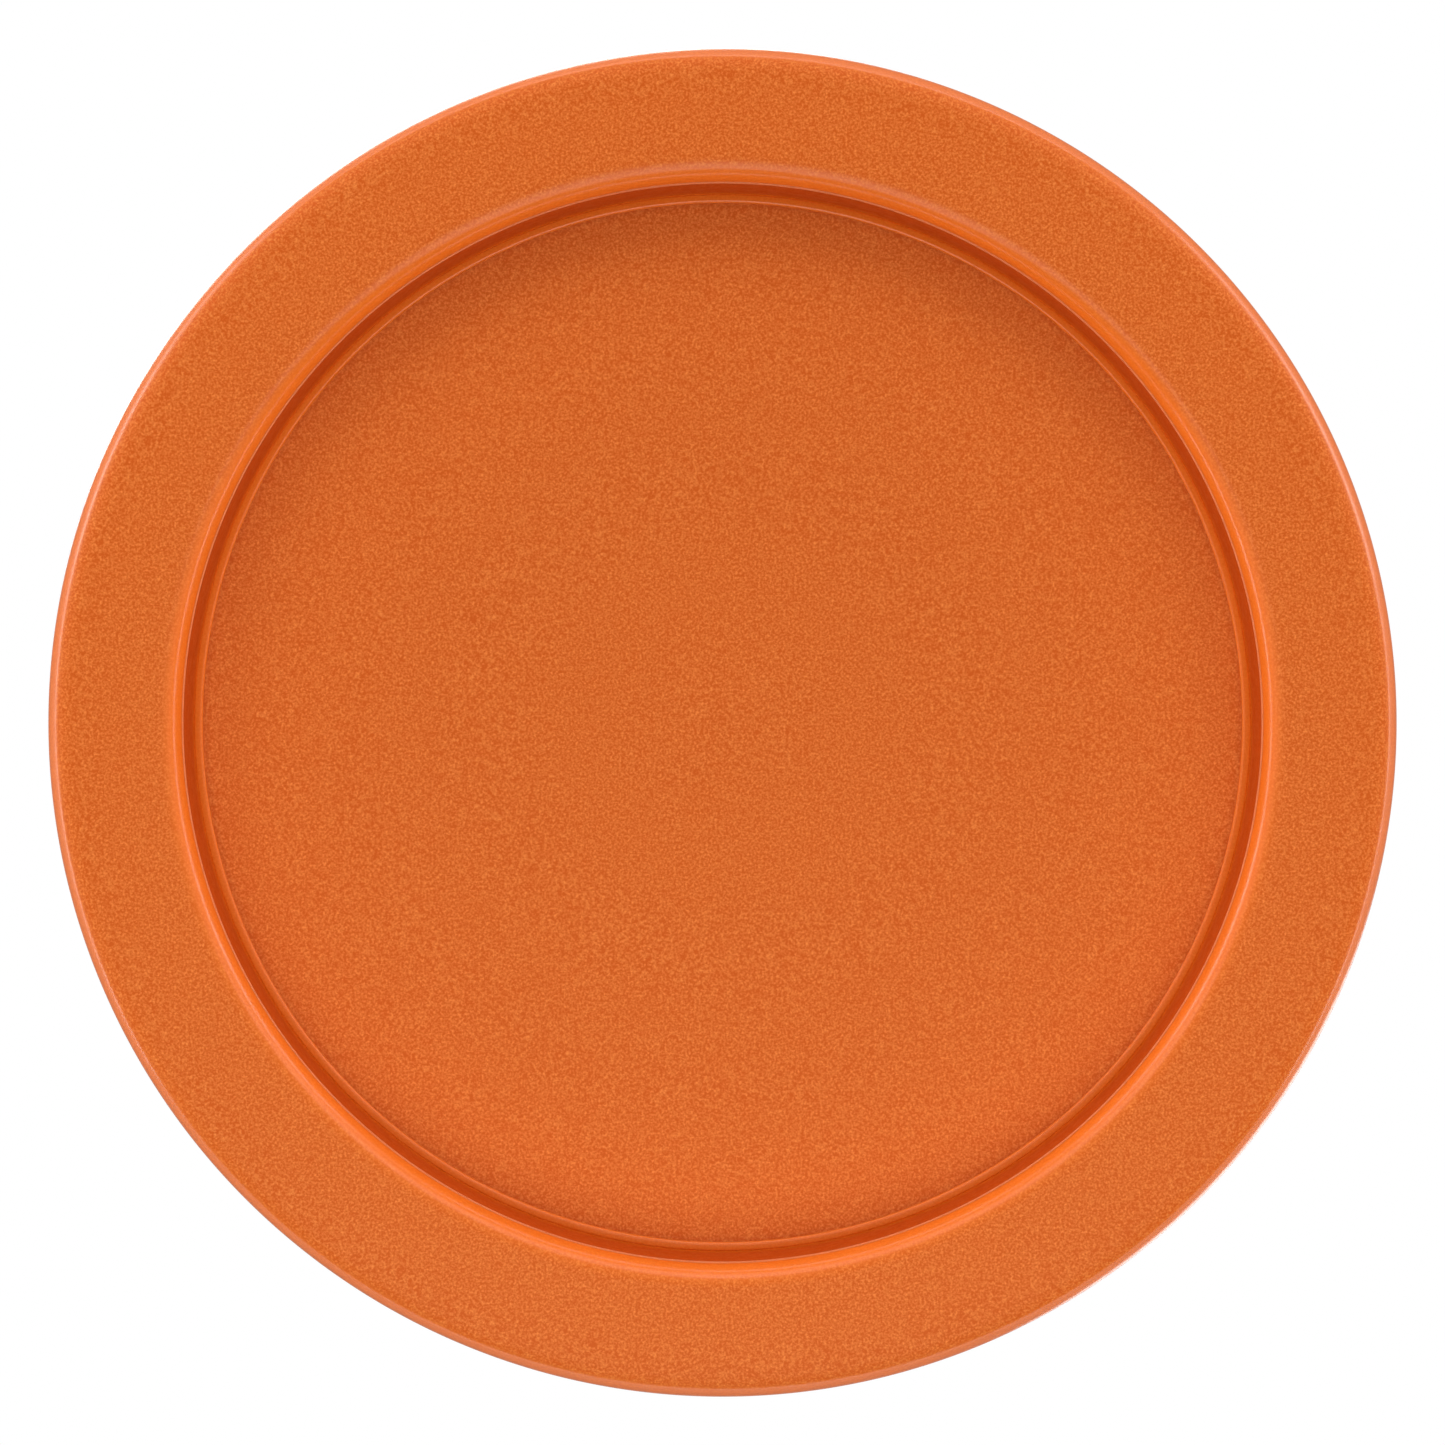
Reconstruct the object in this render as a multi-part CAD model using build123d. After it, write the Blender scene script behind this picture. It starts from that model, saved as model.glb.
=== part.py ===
"""Golf-type flying disc: a flight plate held in a deep, blunt-nosed rim.

Both pieces are bodies of revolution about Z. The disc lies rim down, as it rests on the ground:
the origin is the middle of the plane that it rests on, and the flight plate is on top.
The flight plate is moulded first. Its flange has a circle of anchor holes, and the rim is moulded
round the flange, so the rim's plastic fills the holes. A thin lip of the rim laps under the edge
of the plate, which leaves a narrow step round the inside of the hollow.
All sizes are in millimetres.
"""

from build123d import *
import os
from math import cos, radians, sin, tan

# Driving sizes of the disc
DISC_RADIUS = 105.5
HOLLOW_DEPTH = 11.9  # from the rest plane up to the plate's underside, at the plate's edge
PLATE_THICKNESS = 1.8
UNDERSIDE_RISE = 1.3  # how much higher the underside is at the middle than at the edge
TOP_RISE = 1.5

# The hollow's wall, with the lip at its foot
WALL_MOUTH_RADIUS = 84.65
WALL_FOOT_RADIUS = 83.7
INNER_CORNER_RADIUS = 3.7
FOOT_COVE_RADIUS = 0.6
LIP_EDGE_RADIUS = 82.2
LIP_THICKNESS = 0.6
LIP_ROUNDING = 0.35

# The rim's underside and nose
REST_LAND_EDGE = 93.0  # the flat land that the disc rests on runs out to this radius
UNDERSIDE_LIFT = 0.75  # how far the rest of the underside has risen where it meets the nose
LOWER_NOSE_RADIUS = 4.3
UPPER_NOSE_RADIUS = 2.4
NOSE_CORNER_HEIGHT = 6.6
PARTING_LINE_HEIGHT = 4.8
PARTING_LINE_WIDTH = 0.25
PARTING_LINE_PROUD = 0.06

# The shoulder, where plate and rim meet on top
SHOULDER_START = 76.0  # the dome's curve tightens from this radius outwards
SEAM_RADIUS = 86.0
SHOULDER_DROP = 1.1
SEAM_CHAMFER = 0.12

# The plate's flange inside the rim
FLANGE_ROOT_RADIUS = 84.2
FLANGE_TIP_RADIUS = 90.0
FLANGE_THICKNESS = 0.9
FLANGE_SLOPE = 26.0  # degrees below level
ANCHOR_COUNT = 36
ANCHOR_RADIUS = 1.2
ANCHOR_CIRCLE_RADIUS = 88.1

# The gate mark in the middle of the top, where the plastic enters the mould
GATE_DISH_RADIUS = 4.0
GATE_DISH_DEPTH = 0.3

EDGE_TOP = HOLLOW_DEPTH + PLATE_THICKNESS  # top of the plate where the shoulder starts
SEAM_HEIGHT = EDGE_TOP - SHOULDER_DROP
FLANGE_TIP_HEIGHT = HOLLOW_DEPTH - (FLANGE_TIP_RADIUS - FLANGE_ROOT_RADIUS) * tan(radians(FLANGE_SLOPE))
FLANGE_TOP_AT_SEAM = (
    FLANGE_TIP_HEIGHT + FLANGE_THICKNESS + (FLANGE_TIP_RADIUS - SEAM_RADIUS) * tan(radians(FLANGE_SLOPE))
)


def corner_near(shape, radius, height):
    """The corner of an outline that is nearest to a radius and a height."""
    return shape.vertices().sort_by_distance((radius, 0, height))[0]


def plane_of_outline(points):
    """Radius and height pairs as points in the XZ plane."""
    return [(radius, 0, height) for radius, height in points]


def dome_arc(middle_height, edge_radius, edge_height):
    """A shallow arc, level in the middle of the disc, from the edge in to the axis."""
    rise = middle_height - edge_height
    sphere_radius = (edge_radius**2 + rise**2) / (2 * rise)
    half_way = edge_radius / 2
    drop = sphere_radius - (sphere_radius**2 - half_way**2) ** 0.5
    return ThreePointArc(*plane_of_outline([
        (edge_radius, edge_height),
        (half_way, middle_height - drop),
        (0, middle_height),
    ]))


def dome_slope(rise, edge_radius):
    """The slope in degrees, below level, of such an arc at its edge."""
    sphere_radius = (edge_radius**2 + rise**2) / (2 * rise)
    return Vector(0, 1).get_angle(Vector(edge_radius, (sphere_radius**2 - edge_radius**2) ** 0.5))


def shoulder_arc():
    """The top from the dome's edge out to the seam, leaving the dome smoothly."""
    slope = radians(dome_slope(TOP_RISE, SHOULDER_START))
    start, end = plane_of_outline([(SHOULDER_START, EDGE_TOP), (SEAM_RADIUS, SEAM_HEIGHT)])
    return TangentArc(start, end, tangent=(cos(slope), 0, -sin(slope)))


def wing_arc():
    """The rim's top from the seam out to the nose, going on from the shoulder smoothly."""
    start, end = plane_of_outline([(SEAM_RADIUS, SEAM_HEIGHT), (DISC_RADIUS, NOSE_CORNER_HEIGHT)])
    return TangentArc(start, end, tangent=shoulder_arc() % 1)


def outline(*edges):
    """A closed face in the XZ plane from edges that meet end to end."""
    return make_face(Curve() + list(edges))


def flange_outline_points():
    """The flange's corners inside the rim, from the seam round its tip to the lip's root."""
    return [
        (SEAM_RADIUS, FLANGE_TOP_AT_SEAM),
        (FLANGE_TIP_RADIUS, FLANGE_TIP_HEIGHT + FLANGE_THICKNESS),
        (FLANGE_TIP_RADIUS, FLANGE_TIP_HEIGHT),
        (FLANGE_ROOT_RADIUS, HOLLOW_DEPTH),
        (LIP_EDGE_RADIUS, HOLLOW_DEPTH),
    ]


def anchor_columns():
    """Upright cylinders where the flange's anchor holes are."""
    column = Cylinder(ANCHOR_RADIUS, 4 * FLANGE_THICKNESS)
    middle = (FLANGE_TIP_HEIGHT + FLANGE_TOP_AT_SEAM) / 2
    places = PolarLocations(ANCHOR_CIRCLE_RADIUS, ANCHOR_COUNT)
    return [Pos(0, 0, middle) * place * column for place in places.locations]


def gate_dish():
    """A shallow ball-shaped cut in the middle of the top."""
    ball_radius = (GATE_DISH_RADIUS**2 + GATE_DISH_DEPTH**2) / (2 * GATE_DISH_DEPTH)
    return Pos(0, 0, EDGE_TOP + TOP_RISE - GATE_DISH_DEPTH + ball_radius) * Sphere(ball_radius)


def plate_blank():
    """The flight plate with its flange, before the anchor holes and the gate dish are cut."""
    underside_middle = HOLLOW_DEPTH + UNDERSIDE_RISE
    top_middle = EDGE_TOP + TOP_RISE
    seam_and_flange = plane_of_outline([(SEAM_RADIUS, SEAM_HEIGHT), *flange_outline_points()])
    face = outline(
        shoulder_arc(),
        Polyline(*seam_and_flange),
        dome_arc(underside_middle, LIP_EDGE_RADIUS, HOLLOW_DEPTH),
        Line((0, 0, underside_middle), (0, 0, top_middle)),
        dome_arc(top_middle, SHOULDER_START, EDGE_TOP),
    )
    face = chamfer(corner_near(face, SEAM_RADIUS, SEAM_HEIGHT), SEAM_CHAMFER)
    return revolve(face, Axis.Z)


def flight_plate():
    """The thin domed middle of the disc."""
    return plate_blank() - anchor_columns() - gate_dish()


def rim_ring():
    """The rim without its anchor pegs: the grip wall, rest land, nose and wing as one ring."""
    under_nose = (DISC_RADIUS, UNDERSIDE_LIFT)
    land_end, lift_end = plane_of_outline([(REST_LAND_EDGE, 0), under_nose])
    low, high = (PARTING_LINE_HEIGHT + side * PARTING_LINE_WIDTH / 2 for side in (-1, 1))
    proud = DISC_RADIUS + PARTING_LINE_PROUD
    lip_and_wall = plane_of_outline([
        (LIP_EDGE_RADIUS, HOLLOW_DEPTH),
        (LIP_EDGE_RADIUS, HOLLOW_DEPTH - LIP_THICKNESS),
        (WALL_FOOT_RADIUS, HOLLOW_DEPTH - LIP_THICKNESS),
        (WALL_MOUTH_RADIUS, 0),
        (REST_LAND_EDGE, 0),
    ])
    nose = plane_of_outline([
        under_nose,
        (DISC_RADIUS, low),
        (proud, low + PARTING_LINE_PROUD),
        (proud, high - PARTING_LINE_PROUD),
        (DISC_RADIUS, high),
        (DISC_RADIUS, NOSE_CORNER_HEIGHT),
    ])
    seam_and_flange = plane_of_outline([(SEAM_RADIUS, SEAM_HEIGHT), *flange_outline_points()])
    face = outline(
        Polyline(*lip_and_wall),
        TangentArc(land_end, lift_end, tangent=(1, 0, 0)),
        Polyline(*nose),
        wing_arc(),
        Polyline(*seam_and_flange),
    )
    face = fillet(corner_near(face, LIP_EDGE_RADIUS, HOLLOW_DEPTH - LIP_THICKNESS), LIP_ROUNDING)
    face = fillet(corner_near(face, WALL_FOOT_RADIUS, HOLLOW_DEPTH - LIP_THICKNESS), FOOT_COVE_RADIUS)
    face = fillet(corner_near(face, WALL_MOUTH_RADIUS, 0), INNER_CORNER_RADIUS)
    face = fillet(corner_near(face, *under_nose), LOWER_NOSE_RADIUS)
    face = fillet(corner_near(face, DISC_RADIUS, NOSE_CORNER_HEIGHT), UPPER_NOSE_RADIUS)
    face = chamfer(corner_near(face, SEAM_RADIUS, SEAM_HEIGHT), SEAM_CHAMFER)
    return revolve(face, Axis.Z)


def rim():
    """The rim with a peg in every anchor hole of the flange."""
    pegs = [plate_blank() & column for column in anchor_columns()]
    return rim_ring() + pegs


os.makedirs("parts", exist_ok=True)
for name, piece in {"flight_plate": flight_plate(), "rim": rim()}.items():
    export_step(piece, f"parts/{name}.step")
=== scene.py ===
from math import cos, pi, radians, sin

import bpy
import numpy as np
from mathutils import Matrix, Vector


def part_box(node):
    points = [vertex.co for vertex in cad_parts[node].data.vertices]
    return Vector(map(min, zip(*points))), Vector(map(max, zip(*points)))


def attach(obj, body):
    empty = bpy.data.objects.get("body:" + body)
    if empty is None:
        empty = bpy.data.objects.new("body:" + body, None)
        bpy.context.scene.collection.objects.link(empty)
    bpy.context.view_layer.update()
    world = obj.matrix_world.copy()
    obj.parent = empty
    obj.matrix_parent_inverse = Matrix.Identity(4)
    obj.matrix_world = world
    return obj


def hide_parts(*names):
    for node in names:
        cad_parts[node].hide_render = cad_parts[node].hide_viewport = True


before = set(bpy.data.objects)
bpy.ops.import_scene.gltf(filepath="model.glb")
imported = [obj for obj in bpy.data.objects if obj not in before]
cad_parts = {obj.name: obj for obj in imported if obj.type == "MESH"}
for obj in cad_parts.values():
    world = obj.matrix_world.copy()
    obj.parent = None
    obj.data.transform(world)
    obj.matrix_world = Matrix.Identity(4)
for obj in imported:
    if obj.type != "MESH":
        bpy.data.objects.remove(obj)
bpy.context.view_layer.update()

# A golf-type flying disc of matt orange plastic, looked at from underneath.
# The disc lies rim down on the floor with its axis on Z. The camera and the lights that matter most
# are below the floor, which can only be seen from above, so the open hollow faces the camera.
# Everything is in metres, in the frame of the CAD model.

MM = 0.001
ROOT = "root"

# The disc as a whole: the outside and the heights come from the frame
rim_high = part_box("rim")[1]
plate_low, plate_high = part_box("flight_plate")
PARTING_LINE_PROUD = 0.06 * MM
DISC_RADIUS = rim_high[0] - PARTING_LINE_PROUD
FLANGE_TIP_RADIUS = plate_high[0]
FLANGE_TIP_HEIGHT = plate_low[2]
SEAM_HEIGHT = rim_high[2]

# The hollow's wall and the lip at its foot
HOLLOW_DEPTH = 11.9 * MM
WALL_MOUTH_RADIUS = 84.65 * MM
WALL_FOOT_RADIUS = 83.7 * MM
INNER_CORNER_RADIUS = 3.7 * MM
FOOT_GROOVE_WIDTH = 0.26 * MM
FOOT_GROOVE_DEPTH = 0.2 * MM
LIP_EDGE_RADIUS = 82.2 * MM
LIP_THICKNESS = 0.6 * MM
LIP_ROUNDING = 0.45 * MM

# The rim's underside and nose
REST_LAND_EDGE = 97.0 * MM
REST_LAND_ROUNDING = 90.0 * MM
UNDERSIDE_LIFT = 0.6 * MM
LOWER_NOSE_RADIUS = 4.3 * MM
UPPER_NOSE_RADIUS = 2.4 * MM
NOSE_CORNER_HEIGHT = 6.6 * MM
PARTING_LINE_HEIGHT = 4.8 * MM
PARTING_LINE_WIDTH = 0.25 * MM

# The top: a shallow dome, a shoulder, the seam between plate and rim, and the wing
PLATE_THICKNESS = 1.8 * MM
UNDERSIDE_RISE = 1.3 * MM
TOP_RISE = 1.5 * MM
DOME_EDGE_RADIUS = 76.0 * MM
SHOULDER_RADIUS = 81.0 * MM
SHOULDER_ROUNDING = 60.0 * MM
SEAM_RADIUS = 86.0 * MM
SEAM_ROUNDING = 0.22 * MM
WING_MIDDLE_RADIUS = 96.5 * MM
WING_MIDDLE_HEIGHT = 10.15 * MM
WING_ROUNDING = 75.0 * MM
FLANGE_THICKNESS = 0.9 * MM
FLANGE_ROOT_RADIUS = 84.2 * MM

# The gate mark in the middle of the top
GATE_DISH_RADIUS = 4.0 * MM
GATE_DISH_DEPTH = 0.35 * MM
GATE_STUB_RADIUS = 1.1 * MM
GATE_STUB_BRINK = 0.8 * GATE_STUB_RADIUS
GATE_STUB_FOOT = 1.2 * GATE_STUB_RADIUS
GATE_STUB_HEIGHT = 0.24 * MM

# The fine step round the wall where two parts of the mould meet
WITNESS_HEIGHT = 3.75 * MM
WITNESS_STEP = 0.14 * MM
STEP_ROUNDING = 0.02 * MM

# How uneven the moulding is: numbers of waves round the disc, how strong they are, and the angle in
# radians, for each wave round, that keeps them from all starting at one point
WAVE_START = 1.7
FLASH_WAVES = (5, 17, 41, 73)
FLASH_VARIATION = 0.45
FLASH_WORN_OFF = 0.35
WITNESS_WAVES = (31, 97, 151, 223, 271)
PLATE_WAVES = (2, 3, 5)
PLATE_RIPPLE_ANGLE = 9.0
PLATE_WAVINESS = 0.02 * MM
STUB_WAVES = (1, 3, 8)

# How finely the surfaces are divided. A tiny rounding has longer steps than the others.
STEPS_ROUND = 600
ARC_STEP = radians(8)
TINY_ROUNDING = 0.05 * MM
TINY_ARC_STEP = radians(30)
UNDERSIDE_RINGS = 40
GATE_RINGS = 30
DOME_RINGS = 36


# ---------------------------------------------------------------- outlines

def rounded_outline(corners, closed):
    """Radius and height pairs along an outline whose corners are rounded.

    Each corner is (radius, height, rounding). A rounded corner is the arc of that rounding that touches
    both of the corner's sides: its centre lies on the bisector, at rounding / sin(half the angle).
    """
    places = np.array([corner[:2] for corner in corners])
    pieces = []
    for index, (*place, rounding) in enumerate(corners):
        place = np.array(place)
        at_an_end = not closed and index in (0, len(corners) - 1)
        if rounding == 0 or at_an_end:
            pieces.append(place[None])
            continue
        before = places[index - 1] - place
        after = places[(index + 1) % len(corners)] - place
        before /= np.hypot(*before)
        after /= np.hypot(*after)
        half_angle = np.arccos(np.clip(before @ after, -1, 1)) / 2
        bisector = (before + after) / np.hypot(*(before + after))
        centre = place + bisector * rounding / np.sin(half_angle)
        start = place + before * rounding / np.tan(half_angle) - centre
        turn = (pi - 2 * half_angle) * np.sign(before[1] * after[0] - before[0] * after[1])
        arc_step = ARC_STEP if rounding > TINY_ROUNDING else TINY_ARC_STEP
        angles = np.linspace(0, turn, 2 + int(abs(turn) / arc_step))
        pieces.append(centre + np.stack([
            start[0] * np.cos(angles) - start[1] * np.sin(angles),
            start[0] * np.sin(angles) + start[1] * np.cos(angles),
        ], axis=1))
    return np.concatenate(pieces)


def flange_corners():
    """The flange inside the rim, from the seam round its tip to the edge of the lip."""
    slope = (HOLLOW_DEPTH - FLANGE_TIP_HEIGHT) / (FLANGE_TIP_RADIUS - FLANGE_ROOT_RADIUS)
    tip_top = FLANGE_TIP_HEIGHT + FLANGE_THICKNESS
    return [
        (SEAM_RADIUS, tip_top + slope * (FLANGE_TIP_RADIUS - SEAM_RADIUS), 0),
        (FLANGE_TIP_RADIUS, tip_top, 0),
        (FLANGE_TIP_RADIUS, FLANGE_TIP_HEIGHT, 0),
        (FLANGE_ROOT_RADIUS, HOLLOW_DEPTH, 0),
    ]


def rim_outline():
    """The rim's section: lip, wall, rest land, nose and wing, and the joint to the plate."""
    lip_face = HOLLOW_DEPTH - LIP_THICKNESS
    wall_draft = (WALL_MOUTH_RADIUS - WALL_FOOT_RADIUS) / lip_face
    witness_radius = WALL_MOUTH_RADIUS - wall_draft * WITNESS_HEIGHT
    ridge_low = PARTING_LINE_HEIGHT - PARTING_LINE_WIDTH / 2
    ridge_high = PARTING_LINE_HEIGHT + PARTING_LINE_WIDTH / 2
    ridge_radius = DISC_RADIUS + PARTING_LINE_PROUD
    softening = PARTING_LINE_PROUD / 2
    return rounded_outline([
        (LIP_EDGE_RADIUS, HOLLOW_DEPTH, 0),
        (LIP_EDGE_RADIUS, lip_face, LIP_ROUNDING),
        (WALL_FOOT_RADIUS - FOOT_GROOVE_WIDTH, lip_face, STEP_ROUNDING),
        (WALL_FOOT_RADIUS - FOOT_GROOVE_WIDTH / 2, lip_face + FOOT_GROOVE_DEPTH, STEP_ROUNDING),
        (WALL_FOOT_RADIUS, lip_face - STEP_ROUNDING, STEP_ROUNDING),
        (witness_radius, WITNESS_HEIGHT, STEP_ROUNDING),
        (witness_radius + WITNESS_STEP, WITNESS_HEIGHT, STEP_ROUNDING),
        (WALL_MOUTH_RADIUS, 0, INNER_CORNER_RADIUS),
        (REST_LAND_EDGE, 0, REST_LAND_ROUNDING),
        (DISC_RADIUS, UNDERSIDE_LIFT, LOWER_NOSE_RADIUS),
        (DISC_RADIUS, ridge_low, softening),
        (ridge_radius, ridge_low + PARTING_LINE_PROUD, softening),
        (ridge_radius, ridge_high - PARTING_LINE_PROUD, softening),
        (DISC_RADIUS, ridge_high, softening),
        (DISC_RADIUS, NOSE_CORNER_HEIGHT, UPPER_NOSE_RADIUS),
        (WING_MIDDLE_RADIUS, WING_MIDDLE_HEIGHT, WING_ROUNDING),
        (SEAM_RADIUS, SEAM_HEIGHT, SEAM_ROUNDING),
        *flange_corners(),
    ], closed=True)


def top_height(radius):
    """Height of the plate's top: a dome, less the gate's dish, plus the stub that the gate left.

    The dome falls with the square of the radius, and so does the dish's depth. The stub is a small
    flat-topped mound whose side is a smooth step.
    """
    middle = HOLLOW_DEPTH + PLATE_THICKNESS + TOP_RISE
    dome = middle - TOP_RISE * (radius / DOME_EDGE_RADIUS) ** 2
    dish = GATE_DISH_DEPTH * np.clip(1 - (radius / GATE_DISH_RADIUS) ** 2, 0, 1)
    stub_side = np.clip((GATE_STUB_FOOT - radius) / (GATE_STUB_FOOT - GATE_STUB_BRINK), 0, 1)
    return dome - dish + GATE_STUB_HEIGHT * stub_side**2 * (3 - 2 * stub_side)


def plate_outline():
    """The flight plate's section, from the middle of its underside round the flange to the top."""
    under = np.linspace(0, LIP_EDGE_RADIUS, UNDERSIDE_RINGS)
    hollow_dome = UNDERSIDE_RISE * (1 - (under / LIP_EDGE_RADIUS) ** 2)
    underside = np.stack([under, HOLLOW_DEPTH + hollow_dome], axis=1)
    gate_surround = 1.2 * GATE_DISH_RADIUS
    gate = np.linspace(0, gate_surround, GATE_RINGS)
    dome = np.linspace(gate_surround, DOME_EDGE_RADIUS, DOME_RINGS)[1:]
    over = np.concatenate([gate, dome])
    top = np.stack([over, top_height(over)], axis=1)
    shoulder_slope = 2 * TOP_RISE / DOME_EDGE_RADIUS
    shoulder_height = top[-1, 1] - shoulder_slope * (SHOULDER_RADIUS - DOME_EDGE_RADIUS)
    edge = rounded_outline([
        (*top[-1], 0),
        (SHOULDER_RADIUS, shoulder_height, SHOULDER_ROUNDING),
        (SEAM_RADIUS, SEAM_HEIGHT, SEAM_ROUNDING),
        *flange_corners(),
        (LIP_EDGE_RADIUS, HOLLOW_DEPTH, 0),
    ], closed=False)
    return np.concatenate([underside, edge[::-1][1:], top[::-1][1:]])


# ---------------------------------------------------------------- meshes

def uneven(angle, waves):
    """A value between -1 and 1 that wanders round the disc.

    It is the mean of sines of the given whole numbers of waves, each with its own start.
    """
    return sum(np.sin(count * angle + WAVE_START * count) for count in waves) / len(waves)


def rim_relief(radius, height, angle):
    """The flash on the parting line stands more or less proud, and the witness step is ragged.

    What stands out past the disc's radius is scaled by waves and worn off a little. The corners of the
    witness step move up and down by waves.
    """
    proud = np.clip(radius - DISC_RADIUS, 0, None)
    flash = proud * (FLASH_VARIATION * uneven(angle, FLASH_WAVES) - FLASH_WORN_OFF)
    at_witness = np.abs(height - WITNESS_HEIGHT) < 2 * STEP_ROUNDING
    in_hollow = radius < WALL_MOUTH_RADIUS
    ragged = WITNESS_STEP * uneven(angle, WITNESS_WAVES)
    return flash, ragged * at_witness * in_hollow


def plate_relief(radius, height, angle):
    """The plate's faces are slightly wavy from shrinking in the mould, and the gate's stub is torn.

    The waviness is a sine of the radius times waves round the disc. The stub's height varies by waves
    that grow from nothing in its middle.
    """
    ripple = np.sin(PLATE_RIPPLE_ANGLE * radius / DOME_EDGE_RADIUS)
    waves = PLATE_WAVINESS * ripple * uneven(angle, PLATE_WAVES)
    on_face = radius < DOME_EDGE_RADIUS
    on_stub = (radius < GATE_STUB_RADIUS) & (height > HOLLOW_DEPTH + PLATE_THICKNESS)
    torn = GATE_STUB_HEIGHT / 2 * (radius / GATE_STUB_RADIUS) * uneven(angle, STUB_WAVES)
    return 0 * angle, waves * on_face + torn * on_stub


def turned(name, outline, relief, closed):
    """A surface of revolution: every point of the outline goes round Z in equal steps.

    The relief adds a little to each point's radius and height, as a function of its radius, height
    and angle. On a closed outline the last ring joins the first. An open outline starts and ends on
    the axis, where its end points are single vertices with a fan of triangles.
    """
    angle = np.arange(STEPS_ROUND) * 2 * pi / STEPS_ROUND
    rings = outline if closed else outline[1:-1]
    radius, height = rings[:, :1], rings[:, 1:]
    wider, higher = relief(radius, height, angle)
    radius, height = radius + wider, height + higher
    grid = np.stack([radius * np.cos(angle), radius * np.sin(angle), height + 0 * angle], axis=2)
    vertices = grid.reshape(-1, 3)
    here = np.arange(STEPS_ROUND)
    beside = np.roll(here, -1)
    ring_starts = np.arange(len(rings)) * STEPS_ROUND
    lower = ring_starts if closed else ring_starts[:-1]
    upper = np.roll(ring_starts, -1) if closed else ring_starts[1:]
    quads = np.stack([
        lower[:, None] + here, lower[:, None] + beside, upper[:, None] + beside, upper[:, None] + here,
    ], axis=2).reshape(-1, 4)
    faces = quads.tolist()
    if not closed:
        first, last = len(vertices), len(vertices) + 1
        ends = np.array([[0, 0, outline[0, 1]], [0, 0, outline[-1, 1]]])
        vertices = np.concatenate([vertices, ends])
        top_ring = ring_starts[-1]
        faces += np.stack([beside, here, np.full_like(here, first)], axis=1).tolist()
        faces += np.stack([top_ring + here, top_ring + beside, np.full_like(here, last)], axis=1).tolist()
    mesh = bpy.data.meshes.new(name)
    mesh.from_pydata(vertices.tolist(), [], faces)
    mesh.shade_smooth()
    piece = bpy.data.objects.new(name, mesh)
    bpy.context.scene.collection.objects.link(piece)
    return piece


# ---------------------------------------------------------------- materials

# The plastic's colours, and those painted in for light and shade, as linear red, green, blue and alpha
PLAIN_ORANGE = (0.71, 0.146, 0.006, 1)
# Painted light: a brighter orange for the glow and highlights on the mouth bend, lip edge and nose, and to
# lift the ledge's shade
PAINTED_LIGHT_ORANGE = (0.93, 0.185, 0.01, 1)
# Painted shade: the wall of the hollow is given a darker orange than the rest of the plastic
SHADED_WALL_ORANGE = (0.52, 0.058, 0.001, 1)
# Painted highlight: a paler orange for the pale line along the witness step
WITNESS_HIGHLIGHT_ORANGE = (0.8, 0.25, 0.1, 1)
# Painted shade: a dark orange-brown laid on the plate's underside next to the lip
LIP_SHADE = (0.3, 0.03, 0.001, 1)
PALE_GRAIN = (0.93, 0.28, 0.06, 1)
DARK_GRAIN = (0.62, 0.077, 0.001, 1)

# How much of the painted-light orange the ledge and the nose have, and how strong the painted shade round
# the lip is
LEDGE_BRIGHTNESS = 0.55
NOSE_BRIGHTNESS = 0.45
LIP_SHADE_STRENGTH = 0.2

# Slow clouds in the pigment
CLOUDS_PER_METRE = 60.0
CLOUD_STRENGTH = 0.06
CLOUD_DETAIL = 3.0

# The sanded texture: how fine and deep it is, and how much its grains show on each finish
GRAINS_PER_METRE = 2300.0
GRAIN_NOISE = {"Detail": 1.0, "Roughness": 0.6}
GRAIN_RANGE = (0.42, 0.7)
SPECKLE_SHIFT = (0.31, 0.17, 0.23)
SPECKLE_FINENESS = 1.2
SPECKLE_SHARE = 0.6
GRAIN_ON_SAND = 0.7
GRAIN_ON_POLISH = 0.2
SAND_DEPTH = 0.014 * MM
RELIEF_ON_POLISH = 0.15

# How the plastic shines: a weak sheen all over, and a clearer one where the mould was polished
SHEEN = 0.2
SANDED_ROUGHNESS = 0.55
SATIN_ROUGHNESS = 0.4
SATIN_VARIATION = 0.14
POLISH = 0.65
POLISH_ROUGHNESS = 0.2

# Flow streaks: how fine they are across the disc, and the radius in metres of the circle that they are
# laid out on. The smaller the circle, the longer they are round the disc.
STREAKS_PER_METRE = 700.0
STREAK_DETAIL = 3.0
STREAK_RANGE = (0.3, 0.7)
STREAK_CIRCLE = 0.06

# Where each finish begins and ends, as radii from the lip outwards, and how softly
LIP_EDGE_ENDS = 82.6 * MM
# The wall's darker orange, a painted shade, lies between these two radii
WALL_STARTS = 83.55 * MM
WALL_ENDS = 84.3 * MM
RIM_LAND = (85.6 * MM, 103.1 * MM)
CRISP_FADE = 0.15 * MM
LAND_START_FADE = 2.3 * MM
LAND_END_FADE = 0.9 * MM

# The same by height: the whole top is sanded, and the painted highlight along the witness step reaches a
# little past it
TOP_STARTS = 5.0 * MM
TOP_FADE = 1.5 * MM
HIGHLIGHT_REACH = 0.2 * MM

# Where the painted shade round the lip begins on the plate's underside; the rim has none, so there it
# begins off the disc
LIP_SHADE_STARTS = 80.8 * MM
LIP_SHADE_FADE = 1.5 * MM
NOWHERE = 1.0


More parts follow.
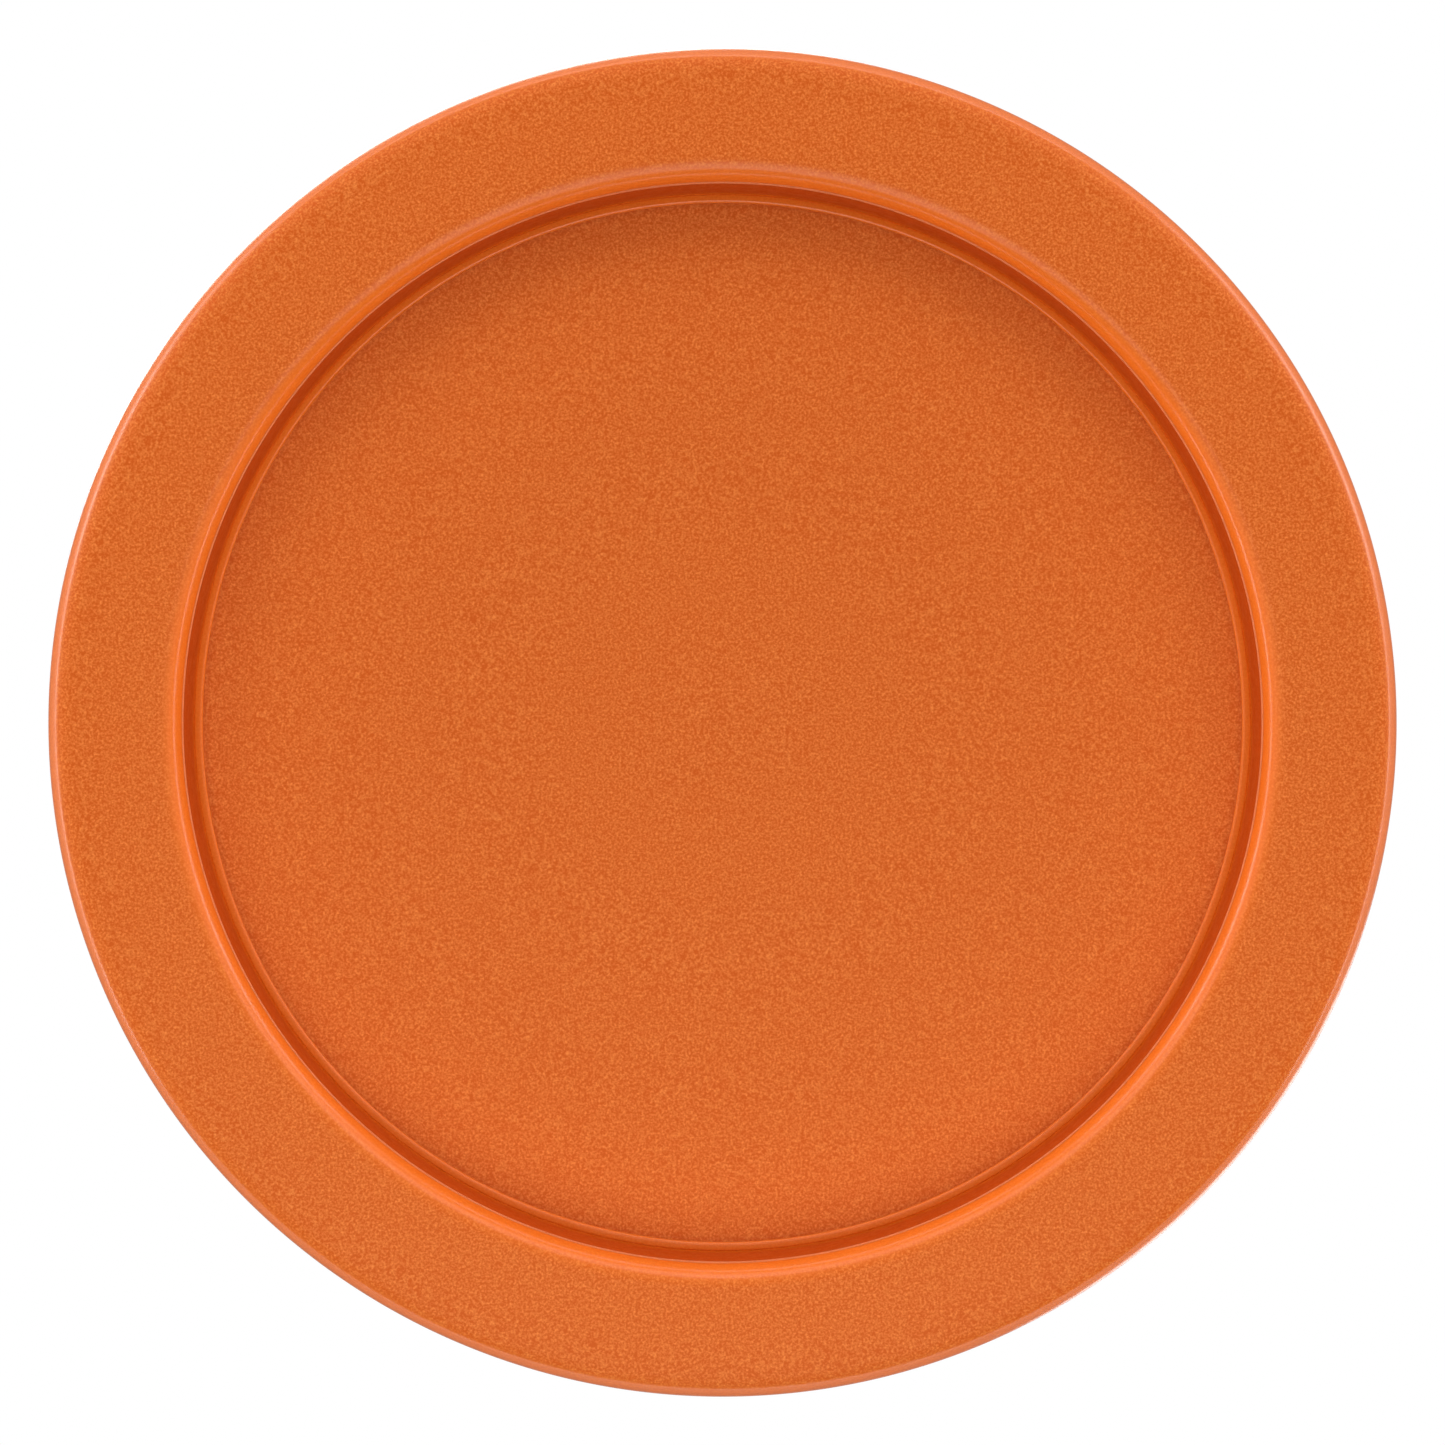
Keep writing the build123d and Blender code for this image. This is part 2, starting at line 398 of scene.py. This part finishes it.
def add(tree, kind, inputs=(), **settings):
    """A new node. Each of its inputs is linked if it is given a socket, and set if it is given a value."""
    node = tree.nodes.new("ShaderNode" + kind)
    for setting, value in settings.items():
        setattr(node, setting, value)
    for key, value in dict(inputs).items():
        if isinstance(value, bpy.types.NodeSocket):
            tree.links.new(value, node.inputs[key])
        else:
            node.inputs[key].default_value = value
    return node


def maths(tree, operation, *values):
    """The result of arithmetic on one, two or three sockets or numbers."""
    return add(tree, "Math", enumerate(values), operation=operation).outputs[0]


def step_up(tree, value, low, high):
    """A smooth step: 0 where the value is below low, and 1 where it is above high."""
    return add(tree, "MapRange", {"Value": value, "From Min": low, "From Max": high},
               interpolation_type="SMOOTHSTEP").outputs["Result"]


def blend(tree, amount, first, second):
    """A colour between the first and the second."""
    mix = tree.nodes.new("ShaderNodeMix")
    mix.data_type = "RGBA"
    for socket, value in zip((mix.inputs[0], mix.inputs[6], mix.inputs[7]), (amount, first, second)):
        if isinstance(value, bpy.types.NodeSocket):
            tree.links.new(value, socket)
        else:
            socket.default_value = value
    return mix.outputs[2]


def new_group(name, inputs, outputs):
    """An empty shader node group with named sockets, and its input node."""
    tree = bpy.data.node_groups.new(name, "ShaderNodeTree")
    for direction, sockets in (("INPUT", inputs), ("OUTPUT", outputs)):
        for socket_name, kind in sockets:
            tree.interface.new_socket(socket_name, in_out=direction, socket_type="NodeSocket" + kind)
    return tree, tree.nodes.new("NodeGroupInput").outputs


def close_group(tree, **results):
    """Links each result to the group's output of that name, with _ for a space."""
    end = tree.nodes.new("NodeGroupOutput")
    for name, socket in results.items():
        tree.links.new(socket, end.inputs[name.replace("_", " ")])
    return tree


def sanded_mould():
    """The fine sandy texture that a blasted mould leaves: its height, and how pale each grain looks."""
    tree, given = new_group(
        "sanded_mould",
        [("Position", "Vector"), ("Grains per Metre", "Float")],
        [("Height", "Float"), ("Grain", "Float")],
    )
    scale = given["Grains per Metre"]
    sand = add(tree, "TexNoise", {
        "Vector": given["Position"], "Scale": scale, **GRAIN_NOISE,
    }).outputs["Fac"]
    moved = add(tree, "VectorMath", {0: given["Position"], 1: SPECKLE_SHIFT}).outputs["Vector"]
    speckle = add(tree, "TexNoise", {
        "Vector": moved, "Scale": maths(tree, "MULTIPLY", scale, SPECKLE_FINENESS), **GRAIN_NOISE,
    }).outputs["Fac"]
    speckle_part = maths(tree, "MULTIPLY", speckle, SPECKLE_SHARE)
    both = maths(tree, "MULTIPLY_ADD", sand, 1 - SPECKLE_SHARE, speckle_part)
    grain = add(tree, "MapRange", {
        "Value": both, "From Min": GRAIN_RANGE[0], "From Max": GRAIN_RANGE[1],
    }).outputs["Result"]
    return close_group(tree, Height=sand, Grain=grain)


def finish_and_painted_light_zones():
    """Which parts of the disc have each finish, by radius and height.

    The land between two radii is sanded, and so is the whole of the top. The edge of the lip, the bend
    at the mouth of the hollow and the nose are glossy. All of these also get a brighter orange, a painted
    light for the glow and highlights they catch, the nose less than the rest, and a little of it lifts the
    ledge out of its shade. The wall gets a darker orange as painted shade. The witness step gets a paler
    orange as a painted highlight, and the plate's underside is painted darker round its edge where it
    meets the lip, as painted shade.
    """
    tree, given = new_group(
        "finish_and_painted_light_zones",
        [("Position", "Vector"), ("Lip Edge Ends", "Float"), ("Wall Starts", "Float"),
         ("Wall Ends", "Float"), ("Land Starts", "Float"), ("Land Ends", "Float"), ("Top Starts", "Float"),
         ("Witness Height", "Float"), ("Lip Shade Starts", "Float")],
        [("Sanded", "Float"), ("Glossy", "Float"), ("Bright", "Float"), ("Wall", "Float"),
         ("Scuffed", "Float"), ("Grimy", "Float")],
    )
    place = add(tree, "SeparateXYZ", {"Vector": given["Position"]}).outputs
    across = add(tree, "CombineXYZ", {"X": place["X"], "Y": place["Y"]}).outputs["Vector"]
    radius = add(tree, "VectorMath", {0: across}, operation="LENGTH").outputs["Value"]

    def past(distance, border, fade):
        """1 past the group's named border and 0 before it, with a soft step in between."""
        return step_up(tree, distance, given[border], maths(tree, "ADD", given[border], fade))

    after_start = past(radius, "Land Starts", LAND_START_FADE)
    on_land = maths(tree, "SUBTRACT", after_start, past(radius, "Land Ends", LAND_END_FADE))
    past_lip_edge = past(radius, "Lip Edge Ends", CRISP_FADE)
    past_wall = past(radius, "Wall Ends", CRISP_FADE)
    past_ledge = past(radius, "Wall Starts", 2 * CRISP_FADE)
    # The wall's mask, for its painted shade
    on_wall = maths(tree, "SUBTRACT", past_ledge, past_wall)
    on_top = maths(tree, "MULTIPLY", past(place["Z"], "Top Starts", TOP_FADE), past_wall)
    sanded = maths(tree, "MAXIMUM", on_land, on_top)
    ledge_and_wall = maths(tree, "SUBTRACT", past_lip_edge, past_wall)
    glossy = maths(tree, "SUBTRACT", 1.0, maths(tree, "MAXIMUM", ledge_and_wall, sanded))
    before_land = maths(tree, "SUBTRACT", 1.0, after_start)
    on_ledge = maths(tree, "SUBTRACT", past_lip_edge, past_ledge)
    # Painted light: the glossy zones, the nose less, and part of the ledge get the brighter orange
    how_bright = maths(tree, "MULTIPLY_ADD", before_land, 1 - NOSE_BRIGHTNESS, NOSE_BRIGHTNESS)
    bright_gloss = maths(tree, "MULTIPLY", glossy, how_bright)
    bright = maths(tree, "MULTIPLY_ADD", on_ledge, LEDGE_BRIGHTNESS, bright_gloss)
    # The band round the witness step that gets the painted highlight
    from_witness = maths(tree, "SUBTRACT", place["Z"], given["Witness Height"])
    beyond_highlight = step_up(tree, maths(tree, "ABSOLUTE", from_witness), HIGHLIGHT_REACH, 2 * HIGHLIGHT_REACH)
    witness_highlight = maths(tree, "MULTIPLY", before_land, maths(tree, "SUBTRACT", 1.0, beyond_highlight))
    # Painted shade on the plate's underside, next to the lip
    underneath = maths(tree, "LESS_THAN", place["Z"], HOLLOW_DEPTH + PLATE_THICKNESS / 2)
    lip_shade = maths(tree, "MULTIPLY", underneath, past(radius, "Lip Shade Starts", LIP_SHADE_FADE))
    return close_group(
        tree, Sanded=sanded, Glossy=glossy, Bright=bright, Wall=on_wall, Scuffed=witness_highlight, Grimy=lip_shade,
    )


def flow_streaks():
    """Faint mottled streaks round the disc, where the plastic flowed along the mould.

    Each point's bearing is laid out on a small circle, and its radius less its height runs up from it, so
    that noise read there is drawn out round the disc.
    """
    tree, given = new_group("flow_streaks", [("Position", "Vector")], [("Streaks", "Float")])
    place = add(tree, "SeparateXYZ", {"Vector": given["Position"]}).outputs
    across = add(tree, "CombineXYZ", {"X": place["X"], "Y": place["Y"]}).outputs["Vector"]
    radius = add(tree, "VectorMath", {0: across}, operation="LENGTH").outputs["Value"]
    round_disc = add(tree, "VectorMath", {0: across}, operation="NORMALIZE").outputs["Vector"]
    turned_out = add(tree, "SeparateXYZ", {"Vector": round_disc}).outputs
    stretched = add(tree, "CombineXYZ", {
        "X": maths(tree, "MULTIPLY", turned_out["X"], STREAK_CIRCLE),
        "Y": maths(tree, "MULTIPLY", turned_out["Y"], STREAK_CIRCLE),
        "Z": maths(tree, "SUBTRACT", radius, place["Z"]),
    }).outputs["Vector"]
    streaks = add(tree, "TexNoise", {
        "Vector": stretched, "Scale": STREAKS_PER_METRE, "Detail": STREAK_DETAIL,
    }).outputs["Fac"]
    return close_group(tree, Streaks=step_up(tree, streaks, *STREAK_RANGE))


def pigment():
    """The colour of the plastic: slow clouds, and grains that are paler or darker than the rest."""
    tree, given = new_group(
        "pigment",
        [("Position", "Vector"), ("Plain", "Color"), ("Pale Grain", "Color"), ("Dark Grain", "Color"),
         ("Grain", "Float"), ("Amount", "Float")],
        [("Color", "Color")],
    )
    clouds = add(tree, "TexNoise", {
        "Vector": given["Position"], "Scale": CLOUDS_PER_METRE, "Detail": CLOUD_DETAIL,
    }).outputs["Fac"]
    cloudy = add(tree, "HueSaturation", {
        "Color": given["Plain"],
        "Value": maths(tree, "MULTIPLY_ADD", clouds, CLOUD_STRENGTH, 1 - CLOUD_STRENGTH / 2),
    }).outputs["Color"]
    grains = blend(tree, given["Grain"], given["Dark Grain"], given["Pale Grain"])
    return close_group(tree, Color=blend(tree, given["Amount"], cloudy, grains))


SAND = sanded_mould()
ZONES = finish_and_painted_light_zones()
STREAKS = flow_streaks()
PIGMENT = pigment()


def plastic(name, land_starts, land_ends, lip_shade_starts):
    """Orange plastic, matt where the mould was sanded and glossy where it was polished."""
    material = bpy.data.materials.new(name)
    material.use_nodes = True
    tree = material.node_tree
    position = add(tree, "TexCoord").outputs["Object"]
    sand = add(tree, "Group", {
        "Position": position, "Grains per Metre": GRAINS_PER_METRE,
    }, node_tree=SAND).outputs
    zones = add(tree, "Group", {
        "Position": position, "Lip Edge Ends": LIP_EDGE_ENDS, "Wall Starts": WALL_STARTS,
        "Wall Ends": WALL_ENDS, "Land Starts": land_starts, "Land Ends": land_ends,
        "Top Starts": TOP_STARTS, "Witness Height": WITNESS_HEIGHT, "Lip Shade Starts": lip_shade_starts,
    }, node_tree=ZONES).outputs
    streaks = add(tree, "Group", {"Position": position}, node_tree=STREAKS).outputs["Streaks"]
    sanded = zones["Sanded"]
    # Painted light: brighter orange where the zones call for it
    lighter = blend(tree, zones["Bright"], PLAIN_ORANGE, PAINTED_LIGHT_ORANGE)
    # Painted shade: the wall of the hollow takes the darker orange
    with_wall_shade = blend(tree, zones["Wall"], lighter, SHADED_WALL_ORANGE)
    # Painted highlight: the paler orange along the witness step
    plain = blend(tree, zones["Scuffed"], with_wall_shade, WITNESS_HIGHLIGHT_ORANGE)
    grain_amount = maths(tree, "MULTIPLY_ADD", sanded, GRAIN_ON_SAND - GRAIN_ON_POLISH, GRAIN_ON_POLISH)
    colour = add(tree, "Group", {
        "Position": position, "Plain": plain, "Pale Grain": PALE_GRAIN, "Dark Grain": DARK_GRAIN,
        "Grain": sand["Grain"], "Amount": grain_amount,
    }, node_tree=PIGMENT).outputs["Color"]
    # Painted shade: the plate's underside darkens next to the lip
    shaded_colour = blend(tree, maths(tree, "MULTIPLY", zones["Grimy"], LIP_SHADE_STRENGTH), colour, LIP_SHADE)
    relief_amount = maths(tree, "MULTIPLY_ADD", sanded, 1 - RELIEF_ON_POLISH, RELIEF_ON_POLISH)
    relief = maths(tree, "MULTIPLY", sand["Height"], relief_amount)
    bump = add(tree, "Bump", {"Height": relief, "Distance": SAND_DEPTH}).outputs["Normal"]
    satin = maths(tree, "MULTIPLY_ADD", streaks, SATIN_VARIATION, SATIN_ROUGHNESS - SATIN_VARIATION / 2)
    roughness = add(tree, "Mix", {0: sanded, 2: satin, 3: SANDED_ROUGHNESS}).outputs[0]
    shader = tree.nodes["Principled BSDF"]
    shader.inputs["Specular IOR Level"].default_value = SHEEN
    shader.inputs["Coat Roughness"].default_value = POLISH_ROUGHNESS
    tree.links.new(shaded_colour, shader.inputs["Base Color"])
    tree.links.new(roughness, shader.inputs["Roughness"])
    tree.links.new(maths(tree, "MULTIPLY", zones["Glossy"], POLISH), shader.inputs["Coat Weight"])
    tree.links.new(bump, shader.inputs["Normal"])
    return material


# The floor glows a little, so that it stays pale far from the lights
FLOOR_WHITE = (0.6, 0.6, 0.59, 1)
FLOOR_ROUGHNESS = 0.9
FLOOR_GLOW = 0.45


def one_way_floor_material():
    """Pale matt floor that can't be seen from underneath."""
    material = bpy.data.materials.new("floor")
    material.use_nodes = True
    nodes, links = material.node_tree.nodes, material.node_tree.links
    shader = nodes["Principled BSDF"]
    shader.inputs["Base Color"].default_value = FLOOR_WHITE
    shader.inputs["Roughness"].default_value = FLOOR_ROUGHNESS
    shader.inputs["Emission Color"].default_value = FLOOR_WHITE
    shader.inputs["Emission Strength"].default_value = FLOOR_GLOW
    clear = nodes.new("ShaderNodeBsdfTransparent")
    side = nodes.new("ShaderNodeNewGeometry")
    mix = nodes.new("ShaderNodeMixShader")
    links.new(side.outputs["Backfacing"], mix.inputs["Fac"])
    links.new(shader.outputs["BSDF"], mix.inputs[1])
    links.new(clear.outputs["BSDF"], mix.inputs[2])
    links.new(mix.outputs["Shader"], nodes["Material Output"].inputs["Surface"])
    return material


# ---------------------------------------------------------------- the pieces

rim = turned("rim_moulding", rim_outline(), rim_relief, closed=True)
rim.data.materials.append(plastic("rim_plastic", *RIM_LAND, NOWHERE))
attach(rim, ROOT)
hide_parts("rim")

plate = turned("flight_plate_moulding", plate_outline(), plate_relief, closed=False)
plate.data.materials.append(plastic("plate_plastic", -DISC_RADIUS, DISC_RADIUS, LIP_SHADE_STARTS))
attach(plate, ROOT)
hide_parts("flight_plate")


# ---------------------------------------------------------------- the studio

FLOOR_SIZE = 8.0
CAMERA_DISTANCE = 0.65
FRAME_WIDTH = 0.2263  # what the camera takes in at the height of the nose
SENSOR_WIDTH = 36.0
NEAREST_VIEW = 0.01

# How bright the surround is: pairs of the angle above the horizon in degrees and the brightness
SURROUND = [
    (-90, 0.0), (-60, 0.5), (-40, 0.0), (-6, 0.0), (-4, 1.8), (0, 1.8), (3, 1.1), (8, 1.0), (40, 0.25),
    (90, 0.4),
]

# For each softbox: bearing and drop in degrees, distance, width and height in metres, power in watts
SOFTBOXES = {
    "right": (0, 36, 1.1, 1.1, 0.5, 1.1),
    "front_right": (60, 36, 1.1, 1.1, 0.5, 3.5),
    "front_left": (120, 36, 1.1, 1.1, 0.5, 3.4),
    "left": (180, 36, 1.1, 1.1, 0.5, 1.3),
    "near_back": (270, 60, 0.5, 0.45, 0.45, 1.4),
    "low_left": (150, 4, 1.1, 0.7, 0.4, 2.0),
    "low_right": (30, 4, 1.1, 0.7, 0.4, 2.0),
    "strip_right": (0, 3.5, 1.1, 1.4, 0.11, 2.0),
    "strip_front": (90, 3.5, 1.1, 1.4, 0.11, 1.2),
    "strip_left": (180, 3.5, 1.1, 1.4, 0.11, 2.8),
    "strip_back": (270, 3.5, 1.1, 1.4, 0.11, 0.5),
    "above_left": (120, -55, 1.2, 0.8, 0.8, 8.0),
    "above_back": (320, -45, 1.2, 0.6, 0.6, 3.0),
}


def floor():
    """A wide pale floor under the disc that doesn't hide the underside from the lights."""
    half = FLOOR_SIZE / 2
    mesh = bpy.data.meshes.new("floor")
    corners = [(-half, -half, 0), (half, -half, 0), (half, half, 0), (-half, half, 0)]
    mesh.from_pydata(corners, [], [(0, 1, 2, 3)])
    mesh.materials.append(one_way_floor_material())
    plane = bpy.data.objects.new("floor", mesh)
    bpy.context.scene.collection.objects.link(plane)
    plane.visible_diffuse = False
    plane.visible_glossy = False
    plane.visible_transmission = False
    plane.visible_shadow = False


def softbox(name, bearing, drop, distance, width, height, power):
    """A rectangular area light that faces the disc.

    The bearing is measured in the picture, in degrees from its right-hand side towards its top. The
    drop is how far below the floor's plane the light stands, in degrees.
    """
    turn, sink = radians(bearing), radians(drop)
    outwards = Vector((-cos(turn) * cos(sink), sin(turn) * cos(sink), -sin(sink)))
    light = bpy.data.lights.new(name, "AREA")
    light.shape = "RECTANGLE"
    light.size = width
    light.size_y = height
    light.energy = power
    lamp = bpy.data.objects.new(name, light)
    lamp.location = outwards * distance
    lamp.rotation_euler = outwards.to_track_quat("Z", "Y").to_euler()
    lamp.visible_camera = False
    bpy.context.scene.collection.objects.link(lamp)


def surround():
    """White to the camera. To the disc, its brightness changes with the height above the horizon."""
    world = bpy.data.worlds.new("studio")
    world.use_nodes = True
    nodes, links = world.node_tree.nodes, world.node_tree.links
    direction = nodes.new("ShaderNodeTexCoord")
    height = nodes.new("ShaderNodeSeparateXYZ")
    position = nodes.new("ShaderNodeMapRange")
    position.inputs["From Min"].default_value = -1
    ramp = nodes.new("ShaderNodeValToRGB")
    stops = ramp.color_ramp.elements
    while len(stops) < len(SURROUND):
        stops.new(1)
    for stop, (elevation, strength) in zip(stops, SURROUND):
        stop.position = (1 + sin(radians(elevation))) / 2
        stop.color = (strength, strength, strength, 1)
    to_disc = nodes["Background"]
    to_camera = nodes.new("ShaderNodeBackground")
    to_camera.inputs["Color"].default_value = (1, 1, 1, 1)
    rays = nodes.new("ShaderNodeLightPath")
    mix = nodes.new("ShaderNodeMixShader")
    links.new(direction.outputs["Generated"], height.inputs["Vector"])
    links.new(height.outputs["Z"], position.inputs["Value"])
    links.new(position.outputs["Result"], ramp.inputs["Fac"])
    links.new(ramp.outputs["Color"], to_disc.inputs["Color"])
    links.new(rays.outputs["Is Camera Ray"], mix.inputs["Fac"])
    links.new(to_disc.outputs["Background"], mix.inputs[1])
    links.new(to_camera.outputs["Background"], mix.inputs[2])
    links.new(mix.outputs["Shader"], nodes["World Output"].inputs["Surface"])
    bpy.context.scene.world = world


def camera():
    """Straight below the disc, looking up into the hollow, with +Y at the top of the picture."""
    lens = bpy.data.cameras.new("camera")
    lens.sensor_width = SENSOR_WIDTH
    lens.lens = SENSOR_WIDTH * (CAMERA_DISTANCE + PARTING_LINE_HEIGHT) / FRAME_WIDTH
    lens.clip_start = NEAREST_VIEW
    eye = bpy.data.objects.new("camera", lens)
    eye.location = (0, 0, -CAMERA_DISTANCE)
    eye.rotation_euler = (pi, 0, pi)
    bpy.context.scene.collection.objects.link(eye)
    bpy.context.scene.camera = eye


floor()
surround()
camera()
for name, placing in SOFTBOXES.items():
    softbox(name, *placing)
bpy.context.scene.view_settings.view_transform = "Standard"
